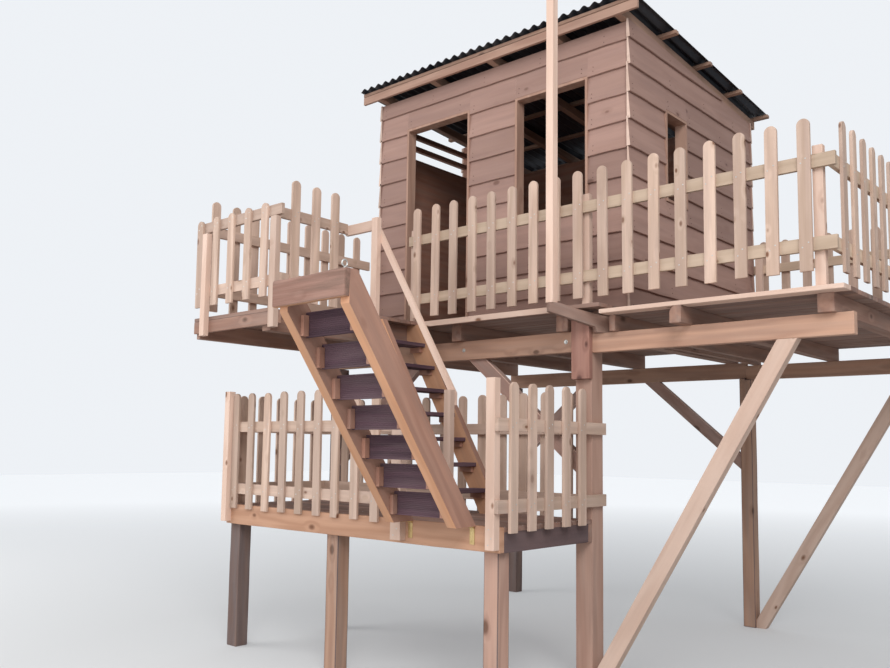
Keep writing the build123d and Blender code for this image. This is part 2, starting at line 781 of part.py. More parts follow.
def fixed_leaf(x0):
    """The plate on the fascia, with the middle knuckle and the pin through all three."""
    y0, y1 = landing_front - leaf_thick, landing_front
    plate = block(x0, x0 + leaf_width, y0, y1, pin_z - leaf_height, pin_z - shy)
    tongue = block(x0 + third, x0 + 2 * third, y0, y1, pin_z - shy, pin_z)
    rod = Pos(x0, pin_y, pin_z) * extrude(Plane.YZ * Circle(pin), leaf_width)
    return plate + tongue + knuckle(x0 + third, x0 + 2 * third, 0) + rod


def moving_leaf(x0):
    """The plate on a stringer's end, with the two outer knuckles."""
    y0, y1 = end_y, end_y + leaf_thick
    leaf = block(x0, x0 + leaf_width, y0, y1, pin_z - leaf_height, pin_z - shy)
    outer = [(x0, x0 + third - knuckle_gap), (x0 + 2 * third + knuckle_gap, x0 + leaf_width)]
    bore = Pos(x0, pin_y, pin_z) * extrude(Plane.YZ * Circle(pin + pin_play), leaf_width)
    for a, b in outer:
        leaf = leaf + block(a, b, y0, y1, pin_z - shy, pin_z) + knuckle(a, b, pin + pin_play)
    return leaf - bore


leaf_places = [side + (swing_thick - leaf_width) / 2 for side in (swing_left, inner_x1)]
save("hinge_fixed_leaves", *[fixed_leaf(x) for x in leaf_places])
save("hinge_moving_leaves", *[raised(moving_leaf(x)) for x in leaf_places])

# Eye bolt for the hoist line, in the toe of the header near its right end
eye_x = swing_right - eye_inset
eye_z = foot_gap + header_round + (header_thick - header_round) / 2
washer = Rot(90, 0, 0) * Cylinder(header_round * 0.5, leaf_thick)
neck_length = eye_wire * 2
neck = Rot(90, 0, 0) * Cylinder(eye_wire, neck_length)
ring = Plane.YZ * (Circle(eye_radius + eye_wire) - Circle(eye_radius - eye_wire))
eye = Pos(-eye_wire, 0, 0) * extrude(ring, 2 * eye_wire)
eye_bolt = (Pos(0, -leaf_thick / 2, 0) * washer + Pos(0, -leaf_thick - neck_length / 2, 0) * neck
            + Pos(0, -leaf_thick - neck_length - eye_radius + eye_wire / 2, 0) * eye)
save("eye_bolt", raised(Pos(eye_x, toe_y, eye_z) * eye_bolt))
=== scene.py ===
import bpy, bmesh, math, random
from mathutils import Matrix, Vector, noise


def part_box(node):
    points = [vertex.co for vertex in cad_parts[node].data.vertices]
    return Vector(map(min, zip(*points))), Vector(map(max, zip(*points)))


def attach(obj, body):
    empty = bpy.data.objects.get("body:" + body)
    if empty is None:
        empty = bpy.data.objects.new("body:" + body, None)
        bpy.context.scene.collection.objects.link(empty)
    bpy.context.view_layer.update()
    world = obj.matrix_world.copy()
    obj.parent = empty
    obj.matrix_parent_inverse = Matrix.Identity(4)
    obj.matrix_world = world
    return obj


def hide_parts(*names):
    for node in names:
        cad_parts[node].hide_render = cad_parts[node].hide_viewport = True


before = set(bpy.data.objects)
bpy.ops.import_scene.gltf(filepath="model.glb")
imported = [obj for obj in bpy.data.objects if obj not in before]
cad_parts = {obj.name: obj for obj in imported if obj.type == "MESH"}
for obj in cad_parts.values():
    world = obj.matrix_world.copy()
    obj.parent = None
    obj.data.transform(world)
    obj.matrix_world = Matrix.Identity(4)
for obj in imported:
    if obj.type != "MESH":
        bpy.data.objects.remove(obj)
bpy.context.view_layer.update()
# Without a seed of its own, noise_vector starts from the clock and differs at every run.
noise.seed_set(7)

# The view
# The house is seen from below its front right corner, from eye height on the ground, over a pale
# floor. Only the camera and reflections see the surround at its full brightness.


def placed(name, data):
    """A new object in the scene."""
    made = bpy.data.objects.new(name, data)
    bpy.context.collection.objects.link(made)
    return made


def fill(tree, node, sockets):
    """Sets a node's inputs to values, or links them to an output, which of a node is its first."""
    for key, value in sockets.items():
        if isinstance(value, bpy.types.Node):
            value = value.outputs[0]
        if isinstance(value, bpy.types.NodeSocket):
            tree.links.new(value, node.inputs[key])
        else:
            node.inputs[key].default_value = value


def add(tree, kind, sockets=None, **settings):
    """A new node with these settings and inputs."""
    made = tree.nodes.new(kind)
    for key, value in settings.items():
        setattr(made, key, value)
    fill(tree, made, sockets or {})
    return made


def new_material(name):
    """A material, its node tree and its Principled shader."""
    made = bpy.data.materials.new(name)
    made.use_nodes = True
    return made, made.node_tree, made.node_tree.nodes["Principled BSDF"]


eye = placed("Camera", bpy.data.cameras.new("Camera"))
eye_point, heading, pitch, roll = (3.29422, -5.21162, 1.56719), 41.7225, 95.6318, 0.7852
turn = Matrix.Rotation(math.radians(heading), 4, "Z") @ Matrix.Rotation(math.radians(pitch), 4, "X")
eye.matrix_world = Matrix.Translation(eye_point) @ turn @ Matrix.Rotation(math.radians(roll), 4, "Z")
eye.data.lens = 35.44
eye.data.sensor_width = 36
eye.data.shift_x = 0.00075
eye.data.shift_y = 0.03073
bpy.context.scene.camera = eye
surround = (0.93, 0.96, 1.0, 1)
floor = bpy.data.meshes.new("floor")
floor.from_pydata([(-40, -40, 0), (40, -40, 0), (40, 40, 0), (-40, 40, 0)], [], [(0, 1, 2, 3)])
ground = placed("floor", floor)
pale, tree, shader = new_material("pale floor")
# Far from the house the lamps no longer reach the floor. For the camera only it glows a little,
# and more with distance, so that it fades into the surround.
reach = add(tree, "ShaderNodeVectorMath", {0: add(tree, "ShaderNodeTexCoord").outputs["Object"]},
            operation="LENGTH")
fade = add(tree, "ShaderNodeMapRange", {"Value": reach.outputs["Value"], "From Min": 4.0, "From Max": 20.0,
                                        "To Min": 0.18, "To Max": 0.60})
by_camera = add(tree, "ShaderNodeLightPath").outputs["Is Camera Ray"]
faint = add(tree, "ShaderNodeMath", {0: by_camera, 1: fade}, operation="MULTIPLY")
fill(tree, shader, {"Base Color": (0.55, 0.55, 0.545, 1), "Roughness": 0.9, "Emission Color": surround,
                    "Emission Strength": faint})
floor.materials.append(pale)
world = bpy.data.worlds.new("studio")
bpy.context.scene.world = world
world.use_nodes = True
sky = world.node_tree
rays = add(sky, "ShaderNodeLightPath").outputs
seen = add(sky, "ShaderNodeMath", {0: rays["Is Camera Ray"], 1: rays["Is Glossy Ray"]}, operation="MAXIMUM")
level = add(sky, "ShaderNodeMapRange", {"Value": seen, "To Min": 0.55, "To Max": 0.92})
fill(sky, sky.nodes["Background"], {"Color": surround, "Strength": level})
for name, place, size, watts in (("key", (7, -8, 9), 6, 900), ("fill", (-9, -7, 5), 7, 450),
                                 ("low", (1, -9, 1.5), 5, 180)):
    lamp = placed(name, bpy.data.lights.new(name, "AREA"))
    lamp.data.size = size
    lamp.data.energy = watts
    lamp.location = place
    lamp.rotation_euler = (Vector((-0.6, 0.3, 2.4)) - lamp.location).to_track_quat("-Z", "Y").to_euler()
bpy.context.scene.view_settings.view_transform = "Standard"

# Posts
# Square softwood posts that stand on the ground, weathered at the left and newer at the corner.
# The main post is notched for the two beams that meet in its front, under a cover block.


def group_tree(name, kind, inputs, outputs):
    """A node group with (label, kind, default) sockets, its inputs' values and its last node."""
    tree = bpy.data.node_groups.new(name, kind)
    for way, sockets in (("INPUT", inputs), ("OUTPUT", outputs)):
        for label, socket_kind, value in sockets:
            socket = tree.interface.new_socket(label, in_out=way, socket_type="NodeSocket" + socket_kind)
            if value is not None:
                socket.default_value = value
    return tree, tree.nodes.new("NodeGroupInput").outputs, tree.nodes.new("NodeGroupOutput")


def sawn_timber():
    """Shader group: streaks, growth rings and knots of sawn softwood along the grain's own axis."""
    tree, given, out = group_tree("sawn timber", "ShaderNodeTree", (
        ("Grain", "Vector", None), ("Tint", "Float", 0.5), ("Light", "Color", (0.6, 0.4, 0.3, 1)),
        ("Dark", "Color", (0.4, 0.25, 0.18, 1)), ("Knot", "Color", (0.2, 0.1, 0.06, 1)),
        ("Knots", "Float", 1.0), ("Knot size", "Float", 1.0), ("Rings", "Float", 0.5),
        ("Streaks", "Float", 0.5), ("Weather", "Float", 0.2), ("Grey", "Color", (0.3, 0.28, 0.26, 1))),
        (("Colour", "Color", None), ("Height", "Float", None), ("Roughness", "Float", None)))

    def calc(operation, *values):
        return add(tree, "ShaderNodeMath", dict(enumerate(values)), operation=operation)

    def vector(operation, sockets):
        return add(tree, "ShaderNodeVectorMath", sockets, operation=operation)

    def ranged(value, *bounds):
        return add(tree, "ShaderNodeMapRange", dict(enumerate((value, *bounds))))

    def cloud(stretch, scale, detail, rough):
        """Noise in the grain's frame, squeezed by so much along each axis."""
        at = vector("MULTIPLY", {0: moved, 1: stretch})
        return add(tree, "ShaderNodeTexNoise", {"Vector": at, 2: scale, 3: detail, 4: rough})

    def blend(kind, share, first, second):
        return add(tree, "ShaderNodeMix", {0: share, 6: first, 7: second}, data_type="RGBA", blend_type=kind,
                   clamp_factor=True).outputs[2]

    # Every board is cut from another place in the tree.
    shift = vector("SCALE", {0: (71.0, 37.0, 53.0), "Scale": given["Tint"]})
    moved = vector("ADD", {0: given["Grain"], 1: shift})
    # Knots sit in cells stretched along the board, and the rings bend round them.
    packed = vector("MULTIPLY", {0: moved, 1: (7.0, 12.0, 12.0)})
    cells = vector("SCALE", {0: packed, "Scale": calc("DIVIDE", 1.0, given["Knot size"])})
    knot = add(tree, "ShaderNodeTexVoronoi", {"Vector": cells, "Scale": 1.0, "Randomness": 1.0})
    # Only some cells hold a knot, and no two knots are of one size.
    lot = add(tree, "ShaderNodeSeparateColor", {0: knot.outputs["Color"]}).outputs
    held = calc("LESS_THAN", lot[0], given["Knots"])
    away = calc("MULTIPLY", knot.outputs["Distance"], ranged(lot[1], 0.0, 1.0, 0.75, 1.7))
    core = calc("MULTIPLY", ranged(away, 0.10, 0.19, 1.0, 0.0), held)
    halo = calc("MULTIPLY", ranged(away, 0.08, 0.42, 1.0, 0.0), held)
    bend = calc("MULTIPLY", cloud((0.42, 4.2, 4.2), 1.1, 3.0, 0.5), 34.0)
    rings = ranged(calc("SINE", calc("ADD", bend, calc("MULTIPLY", halo, 5.0))), -1.0, 1.0)
    streak = cloud((2.2, 120.0, 120.0), 1.0, 4.0, 0.62)
    teeth = cloud((190.0, 6.0, 6.0), 1.0, 2.0, 0.5)
    patch = cloud((1.1, 13.0, 13.0), 1.2, 4.0, 0.6)
    lines = calc("MULTIPLY_ADD", streak, given["Streaks"], calc("MULTIPLY", rings, given["Rings"]))
    colour = blend("MIX", ranged(lines, 0.05, 0.95), given["Light"], given["Dark"])
    colour = blend("MIX", calc("MULTIPLY", halo, 0.40), colour, given["Dark"])
    colour = blend("MIX", core, colour, given["Knot"])
    tone = ranged(given["Tint"], 0.0, 1.0, 0.80, 1.14)
    colour = blend("MULTIPLY", 1.0, colour, add(tree, "ShaderNodeCombineColor", {0: tone, 1: tone, 2: tone}))
    worn = calc("MULTIPLY", ranged(patch, 0.42, 0.72), given["Weather"])
    height = calc("MULTIPLY", streak, 0.55)
    for source, share in ((teeth, 0.30), (rings, 0.22), (core, -0.35)):
        height = calc("MULTIPLY_ADD", source, share, height)
    fill(tree, out, {"Colour": blend("MIX", worn, colour, given["Grey"]), "Height": height,
                     "Roughness": ranged(lines, 0.0, 1.0, 0.66, 0.88)})
    return tree


sawn = sawn_timber()


def wood(name, light, dark, knot, knots=0.35, streaks=0.42, weather=0.15, grey=(0.30, 0.27, 0.25),
         relief=0.0016, rings=0.45, knot_size=1.6, shine=0.28, bumpy=0.55):
    """A timber finish: the sawn-timber group read along each board's own grain."""
    made, tree, shader = new_material(name)
    group = add(tree, "ShaderNodeGroup", node_tree=sawn)
    fill(tree, group, {
        "Light": (*light, 1), "Dark": (*dark, 1), "Knot": (*knot, 1), "Grey": (*grey, 1), "Knots": knots,
        "Streaks": streaks, "Weather": weather, "Rings": rings, "Knot size": knot_size,
        "Grain": add(tree, "ShaderNodeAttribute", attribute_name="grain").outputs["Vector"],
        "Tint": add(tree, "ShaderNodeAttribute", attribute_name="tint").outputs["Fac"]})
    bump = add(tree, "ShaderNodeBump", {"Strength": bumpy, "Distance": relief,
                                        "Height": group.outputs["Height"]})
    fill(tree, shader, {"Specular IOR Level": shine, "Base Color": group.outputs["Colour"],
                        "Roughness": group.outputs["Roughness"], "Normal": bump})
    return made


def once(items):
    """Each item once, in the order they come in: a set's own order differs at every run."""
    return list(dict.fromkeys(items))


def islands(bm):
    """Groups of faces that share edges: the separate timbers of one node."""
    left, groups = set(bm.faces), []
    for first in bm.faces:
        if first not in left:
            continue
        left.discard(first)
        group, todo = [first], [first]
        while todo:
            for edge in todo.pop().edges:
                for face in edge.link_faces:
                    if face in left:
                        left.discard(face)
                        group.append(face)
                        todo.append(face)
        groups.append(group)
    return sorted(groups, key=lambda g: tuple(round(x, 4) for x in sum((f.calc_center_median() for f in g),
                                                                      Vector()) / len(g)))


def lengthwise(group):
    """The direction of a timber's longest edge, and where its two ends lie that way."""
    long = max((e for f in group for e in f.edges), key=lambda e: round(e.calc_length(), 4))
    way = (long.verts[1].co - long.verts[0].co).normalized()
    if way[max(range(3), key=lambda i: abs(way[i]))] < 0:
        way.negate()
    span = [vert.co.dot(way) for f in group for vert in f.verts]
    return way, min(span), max(span)


def write_grain(bm, seed, along=None):
    """Gives each timber its own grain frame, with X along its length, and its own tint."""
    ready, made = bm.verts.layers.float_vector, bm.verts.layers.float
    tint = made.get("tint") or made.new("tint")
    axes = ready.get("grain") or ready.new("grain")
    draw = random.Random(seed)
    for group in islands(bm):
        u = along or group[0].verts[0][axes].normalized()
        broad = max(group, key=lambda f: f.calc_area() * (1 - abs(f.normal.dot(u))))
        w = (broad.normal - u * broad.normal.dot(u)).normalized()
        v = w.cross(u)
        verts = once(vert for f in group for vert in f.verts)
        middle = sum((vert.co for vert in verts), Vector()) / len(verts)
        value = draw.random()
        for vert in verts:
            arm = vert.co - middle
            vert[axes] = (arm.dot(u), arm.dot(v), arm.dot(w))
            vert[tint] = value


def cad_solids(*nodes, flat=True):
    """The solids of these CAD nodes as one bmesh, with each flat face in one piece."""
    bm = bmesh.new()
    for node in nodes:
        bm.from_mesh(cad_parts[node].data)
    bmesh.ops.remove_doubles(bm, verts=bm.verts, dist=1e-5)
    if flat:
        bmesh.ops.dissolve_limit(bm, angle_limit=math.radians(1), verts=bm.verts, edges=bm.edges)
    return bm


def mesh_from(bm, name, *materials):
    """The bmesh as a mesh with these materials; the bmesh is freed."""
    mesh = bpy.data.meshes.new(name)
    bm.to_mesh(mesh)
    bm.free()
    for material in materials:
        mesh.materials.append(material)
    return mesh


def shown(name, mesh, body, nodes=()):
    """Puts a finished mesh in the scene as a piece of that body, standing for those CAD nodes."""
    piece = placed(name, mesh)
    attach(piece, body)
    if nodes:
        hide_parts(*nodes)


def timbers(node, material, body="house", round_edge=0.003, waver=0.0012, step=0.16, which=None,
            fresh=None):
    """Sawn timbers with the CAD node's shapes: arrises eased, faces a little out of true."""
    bm = cad_solids(node)
    for index, group in enumerate(islands(bm)):
        for face in group:
            face.material_index = which[index] if which else 0
        bmesh.ops.split(bm, geom=group)
    draw = random.Random(len(node) * 7 + 3)
    axes = bm.verts.layers.float_vector.new("grain")
    for group in islands(bm):
        way, first, last = lengthwise(group)
        for face in group:
            for vert in face.verts:
                vert[axes] = way
        faces = list(group)
        for i in range(1, int((last - first) / step)):
            geom = once(x for f in faces if f.is_valid for x in (f, *f.edges, *f.verts))
            cut = bmesh.ops.bisect_plane(bm, geom=geom, plane_co=way * (first + i * step),
                                         plane_no=way, dist=1e-5)
            faces = [x for x in cut["geom"] if isinstance(x, bmesh.types.BMFace)]
    arrises = [e for e in bm.edges if len(e.link_faces) == 2
               and e.link_faces[0].normal.angle(e.link_faces[1].normal, 0) > math.radians(20)]
    bmesh.ops.bevel(bm, geom=arrises, offset=round_edge, segments=2, profile=0.6, affect="EDGES",
                    clamp_overlap=True)
    seed = Vector([draw.uniform(-50, 50) for _ in range(3)])
    for vert in bm.verts:
        vert.co += (noise.noise_vector(vert.co * 2.3 + seed)
                    + noise.noise_vector(vert.co * 11.0 + seed) * 0.3) * waver
        vert.co.z = max(vert.co.z, 0.0)
    write_grain(bm, len(node) * 13)
    if fresh:
        for face in bm.faces:
            face.material_index = int(fresh(face.normal))
    mesh = mesh_from(bm, node, *(material if isinstance(material, list) else [material]))
    shown(node + "_sawn", mesh, body, [node])


weathered = wood("weathered post", (0.25, 0.165, 0.135), (0.14, 0.09, 0.08), (0.07, 0.04, 0.03),
                 weather=0.8, grey=(0.17, 0.145, 0.145), relief=0.003)
post_pink = wood("new post", (0.56, 0.35, 0.27), (0.37, 0.21, 0.16), (0.17, 0.08, 0.05), weather=0.2)
cover_red = wood("cover board", (0.42, 0.22, 0.17), (0.27, 0.13, 0.10), (0.12, 0.05, 0.04), weather=0.1)
timbers("main_post", post_pink, round_edge=0.004)
timbers("main_post_cover", cover_red, round_edge=0.005)
tan_post = wood("tan post", (0.50, 0.31, 0.22), (0.34, 0.19, 0.13), (0.15, 0.07, 0.04), weather=0.35)
# From left to right: rear left, front left and the one behind it, middle, front corner, rear.
timbers("posts", [weathered, tan_post, post_pink], round_edge=0.006, waver=0.003,
        which=(0, 0, 0, 1, 2, 1))

# Beams, joists and braces
# Sawn beams at the posts, with the deck's joists across them, planks as braces and the mast.
# All are of pinkish softwood, rough from the saw, dark where it is old and pale where it is new, and the
# short braces carry painted shade as well.
beam_tan = wood("beam timber", (0.55, 0.33, 0.23), (0.36, 0.20, 0.14), (0.15, 0.07, 0.04), weather=0.2)
joist_brown = wood("joist timber", (0.38, 0.22, 0.16), (0.22, 0.12, 0.09), (0.10, 0.05, 0.03), weather=0.35)
new_pale = wood("new timber", (0.74, 0.55, 0.45), (0.60, 0.41, 0.32), (0.24, 0.12, 0.07), weather=0.06,
                knot_size=1.2)
dark_beam = wood("dark beam", (0.14, 0.09, 0.088), (0.08, 0.052, 0.053), (0.04, 0.025, 0.025), weather=0.3,
                 grey=(0.12, 0.10, 0.105))
timbers("beams", beam_tan, round_edge=0.004)
timbers("deck_joists", joist_brown, round_edge=0.004, waver=0.002)
# Brace timber: weathered, and darkened further as painted shade.
brace_wear_and_shade = wood("brace timber", (0.45, 0.29, 0.24), (0.30, 0.18, 0.145), (0.14, 0.07, 0.05), weather=0.4)
# The short braces under the deck take a darker timber than the two long props at its right: partly
# weathering, partly painted shade.
timbers("braces", [new_pale, brace_wear_and_shade], round_edge=0.003, which=(1, 1, 1, 1, 0, 0))
timbers("mast", new_pale)
timbers("edge_board", new_pale)
timbers("landing_joists", dark_beam, round_edge=0.004)
timbers("landing_beam", joist_brown)

# Deck boards
# Softwood boards screwed across the joists of the deck, the balcony, the stair head and the
# landing. They lie along the front with a narrow gap between them, and are mostly seen from below.


def realised(tree, given, out, copies):
    """The end of a tree that makes copies: they become one plain mesh of one finish."""
    real = add(tree, "GeometryNodeRealizeInstances", {"Geometry": copies})
    fill(tree, out, {"Geometry": add(tree, "GeometryNodeSetMaterial", {"Geometry": real,
                                                                       "Material": given["Finish"]})})
    return tree


def row_of_boards():
    """Geometry Nodes: copies of the modifier's own mesh in a row, each a little off its place."""
    tree, given, out = group_tree("row of boards", "GeometryNodeTree", (
        ("Geometry", "Geometry", None), ("Count", "Int", 4), ("Step", "Vector", None),
        ("Start", "Vector", None), ("Drift", "Vector", None), ("Lean", "Vector", None), ("Seed", "Int", 1),
        ("Finish", "Material", None)), (("Geometry", "Geometry", None),))

    def scatter(limit, offset):
        """A random vector between minus and plus the named input."""
        less = add(tree, "ShaderNodeVectorMath", {0: given[limit], "Scale": -1.0}, operation="SCALE")
        seed = add(tree, "ShaderNodeMath", {0: given["Seed"], 1: offset}, operation="ADD")
        return add(tree, "FunctionNodeRandomValue", {0: less, 1: given[limit], "Seed": seed},
                   data_type="FLOAT_VECTOR")

    line = add(tree, "GeometryNodeMeshLine", {"Count": given["Count"], "Start Location": given["Start"],
                                              "Offset": given["Step"]})
    nudge = add(tree, "GeometryNodeSetPosition", {"Geometry": line, "Offset": scatter("Drift", 11)})
    tilt = add(tree, "FunctionNodeEulerToRotation", {0: scatter("Lean", 23)})
    bare = add(tree, "GeometryNodeRemoveAttribute", {"Geometry": given["Geometry"], "Name": "tint"})
    place = add(tree, "GeometryNodeInstanceOnPoints", {"Points": nudge, "Instance": bare, "Rotation": tilt})
    tint = add(tree, "FunctionNodeRandomValue", {"Seed": given["Seed"]}).outputs[1]
    store = add(tree, "GeometryNodeStoreNamedAttribute", {"Geometry": place, "Name": "tint", "Value": tint},
                domain="INSTANCE")
    return realised(tree, given, out, store)


row = row_of_boards()


def grown(mesh, tree, **values):
    """The plain mesh that a Geometry Nodes tree makes from this mesh with these inputs."""
    carrier = placed("carrier", mesh)
    modifier = carrier.modifiers.new("made by nodes", "NODES")
    modifier.node_group = tree
    for socket in tree.interface.items_tree:
        if socket.in_out == "INPUT" and socket.name in values:
            modifier[socket.identifier] = values[socket.name]
    bpy.context.view_layer.update()
    made = bpy.data.meshes.new_from_object(carrier.evaluated_get(bpy.context.evaluated_depsgraph_get()))
    bpy.data.objects.remove(carrier)
    return made


def board(low, high, ease, seed, step=0.25, waver=0.0008):
    """One sawn board between two corners, with eased arrises, its grain along its length."""
    bm = bmesh.new()
    low, high = Vector(low), Vector(high)
    bmesh.ops.create_cube(bm, size=1.0)
    for vert in bm.verts:
        vert.co = Vector(low[i] + (high[i] - low[i]) * (vert.co[i] + 0.5) for i in range(3))
    size = high - low
    long = max(range(3), key=lambda i: size[i])
    way = Vector([float(i == long) for i in range(3)])
    for i in range(1, int(size[long] / step)):
        bmesh.ops.bisect_plane(bm, geom=[*bm.verts, *bm.edges, *bm.faces], plane_no=way,
                               plane_co=low + way * (i * step), dist=1e-6)
    arrises = [e for e in bm.edges if e.calc_face_angle(0) > 1]
    bmesh.ops.bevel(bm, geom=arrises, offset=ease, segments=2, profile=0.6, affect="EDGES",
                    clamp_overlap=True)
    start = Vector((seed * 3.7, seed * 1.3, seed * 5.1))
    for vert in bm.verts:
        vert.co += noise.noise_vector(vert.co * 2.0 + start) * waver
    write_grain(bm, seed, along=way)
    return mesh_from(bm, "board")


def joined(meshes):
    """Several meshes as one, with their materials and grain kept."""
    parts = [placed("part", mesh) for mesh in meshes]
    with bpy.context.temp_override(object=parts[0], active_object=parts[0], selected_objects=parts,
                                   selected_editable_objects=parts):
        bpy.ops.object.join()
    made = parts[0].data
    bpy.data.objects.remove(parts[0])
    return made


deck_dark = wood("deck board", (0.34, 0.20, 0.15), (0.20, 0.11, 0.085), (0.10, 0.05, 0.03), weather=0.4)
board_gap = 0.006
board_counts = {"deck_main": 24, "deck_right": 24, "deck_balcony": 10, "stair_head": 4, "landing_deck": 8}
for seed, (node, board_count) in enumerate(board_counts.items(), 3):
    low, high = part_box(node)
    pitch = (high.y - low.y + board_gap) / board_count
    plank = board(low, (high.x, low.y + pitch - board_gap, high.z), ease=0.003, seed=seed)
    boards = grown(plank, row, Count=board_count, Step=(0.0, pitch, 0.0), Drift=(0.002, 0.0008, 0.0006),
                   Seed=seed, Finish=deck_dark)
    if node == "deck_right":
        # Its outermost board is new.
        boards.materials.append(new_pale)
        for face in boards.polygons:
            if face.center.y < low.y + pitch - 0.004:
                face.material_index = len(boards.materials) - 1
    shown(node + "_boards", boards, "house", [node])


def metal(name, metallic, scale, first, second, rough, detail=2.0, ends=(0.0, 1.0), stretch=None):
    """A metal finish: a cloud of one or two colours, with one roughness or two that follow it."""
    made, tree, shader = new_material(name)
    at = add(tree, "ShaderNodeTexCoord").outputs["Object"]
    if stretch:
        at = add(tree, "ShaderNodeMapping", {"Vector": at, "Scale": stretch})
    cloud = add(tree, "ShaderNodeTexNoise", {"Vector": at, "Scale": scale, "Detail": detail})
    colour, gloss = (*first, 1), rough
    if second:
        colour = add(tree, "ShaderNodeValToRGB", {"Fac": cloud})
        for element, place, shade in zip(colour.color_ramp.elements, ends, (first, second)):
            element.position, element.color = place, (*shade, 1)
    if isinstance(rough, tuple):
        gloss = add(tree, "ShaderNodeMapRange", {"Value": cloud, "To Min": rough[0], "To Max": rough[1]})
    fill(tree, shader, {"Metallic": metallic, "Base Color": colour, "Roughness": gloss})
    return made


zinc = metal("zinc plate", 0.9, 160, (0.55, 0.55, 0.53), None, (0.28, 0.62))


def fixings():
    """Geometry Nodes: a head on every vertex of the modifier's mesh, facing as 'facing' says."""
    tree, given, out = group_tree("fixings", "GeometryNodeTree", (
        ("Geometry", "Geometry", None), ("Head", "Object", None), ("Seed", "Int", None),
        ("Finish", "Material", None)), (("Geometry", "Geometry", None),))
    head = add(tree, "GeometryNodeObjectInfo", {"Object": given["Head"]}).outputs["Geometry"]
    facing = add(tree, "GeometryNodeInputNamedAttribute", {"Name": "facing"}, data_type="FLOAT_VECTOR")
    aim = add(tree, "FunctionNodeAlignRotationToVector", {"Vector": facing}, axis="Z")
    any_turn = add(tree, "FunctionNodeRandomValue", {1: (0.0, 0.0, 3.1), "Seed": given["Seed"]},
                   data_type="FLOAT_VECTOR")
    own_turn = add(tree, "FunctionNodeEulerToRotation", {0: any_turn})
    spin = add(tree, "FunctionNodeRotateRotation", {0: aim, 1: own_turn}, rotation_space="LOCAL")
    place = add(tree, "GeometryNodeInstanceOnPoints", {"Points": given["Geometry"], "Instance": head,
                                                       "Rotation": spin})
    return realised(tree, given, out, place)


fixing_tree = fixings()


def skin(bm, near, far):
    """Faces all round between two closed loops of vertices."""
    for k in range(len(near)):
        after = (k + 1) % len(near)
        bm.faces.new((near[k], near[after], far[after], far[k]))


def turned(bm, rings, sides):
    """A turned or hexagonal solid from (radius, height) rings, closed at both ends."""
    angles = [math.tau * i / sides for i in range(sides)]
    loops = [[bm.verts.new((radius * math.cos(angle), radius * math.sin(angle), height)) for angle in angles]
             for radius, height in rings]
    for lower, upper in zip(loops, loops[1:]):
        skin(bm, lower, upper)
    bm.faces.new(loops[-1])
    bm.faces.new(loops[0][::-1])


def turned_head(name, rings, sides):
    """The head of a fixing, standing on z 0."""
    bm = bmesh.new()
    turned(bm, rings, sides)
    return placed(name, mesh_from(bm, name))


def fixed(places, head, finish, seed=1):
    """Heads at (point, facing) places, as one mesh."""
    mesh = bpy.data.meshes.new("places")
    mesh.from_pydata([tuple(point) for point, _ in places], [], [])
    facing = mesh.attributes.new("facing", "FLOAT_VECTOR", "POINT")
    for i, (_, way) in enumerate(places):
        facing.data[i].vector = way
    return grown(mesh, fixing_tree, Head=head, Seed=seed, Finish=finish)


screw = turned_head("screw", [(0.0045, -0.001), (0.0045, 0.0004), (0.0036, 0.0012), (0.0018, 0.0013),
                              (0.0016, 0.0004)], 10)

# Two screws hold every board to each joist that it crosses.
deck_screws, joists = [], []
draw = random.Random(12)
under_boards, screw_shares = 0.03, (0.24, 0.72)
bm = cad_solids("deck_joists", "landing_joists", flat=False)
for group in islands(bm):
    spots = [vert.co for face in group for vert in face.verts]
    joists.append(([min(spot[i] for spot in spots) for i in range(3)],
                   [max(spot[i] for spot in spots) for i in range(3)]))
bm.free()
for node, board_count in board_counts.items():
    low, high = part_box(node)
    pitch = (high.y - low.y + board_gap) / board_count
    for joist_low, joist_high in joists:
        x = (joist_low[0] + joist_high[0]) / 2
        if abs(joist_high[2] - low.z) > under_boards or not low.x < x < high.x:
            continue
        for k in range(board_count):
            for side in screw_shares:
                y = low.y + (k + side) * pitch + draw.uniform(-0.004, 0.004)
                if joist_low[1] < y < joist_high[1]:
                    spot = Vector((x + draw.uniform(-0.005, 0.005), y, high.z))
                    deck_screws.append((spot, Vector((0, 0, 1))))
shown("deck_screws", fixed(deck_screws, screw, zinc, 3), "house")

# Picket fences
# Round-headed softwood pickets in front of two rails, round the deck, the balcony and the landing.
# Each picket has two screws to a rail, and the panels stand at stays and posts of the pale timber.
fence_wood = wood("picket timber", (0.70, 0.52, 0.42), (0.50, 0.35, 0.265), (0.20, 0.095, 0.055), knots=0.42,
                  streaks=0.6, weather=0.6, grey=(0.42, 0.30, 0.25), relief=0.0009, knot_size=1.1)
rail_wood = wood("rail timber", (0.67, 0.51, 0.385), (0.49, 0.36, 0.26), (0.20, 0.10, 0.05), knots=0.42,
                 streaks=0.5, weather=0.3, grey=(0.42, 0.32, 0.25), relief=0.0009, knot_size=1.2)
upper_rails = ("front_fence", "right_fence", "rear_fence")
picket_width, picket_thick, rail_thick, rail_high = 0.075, 0.020, 0.028, 0.080
sides = {"front": (Vector((1, 0, 0)), Vector((0, -1, 0))), "right": (Vector((0, 1, 0)), Vector((1, 0, 0))),
         "back": (Vector((-1, 0, 0)), Vector((0, 1, 0))), "left": (Vector((0, -1, 0)), Vector((-1, 0, 0)))}


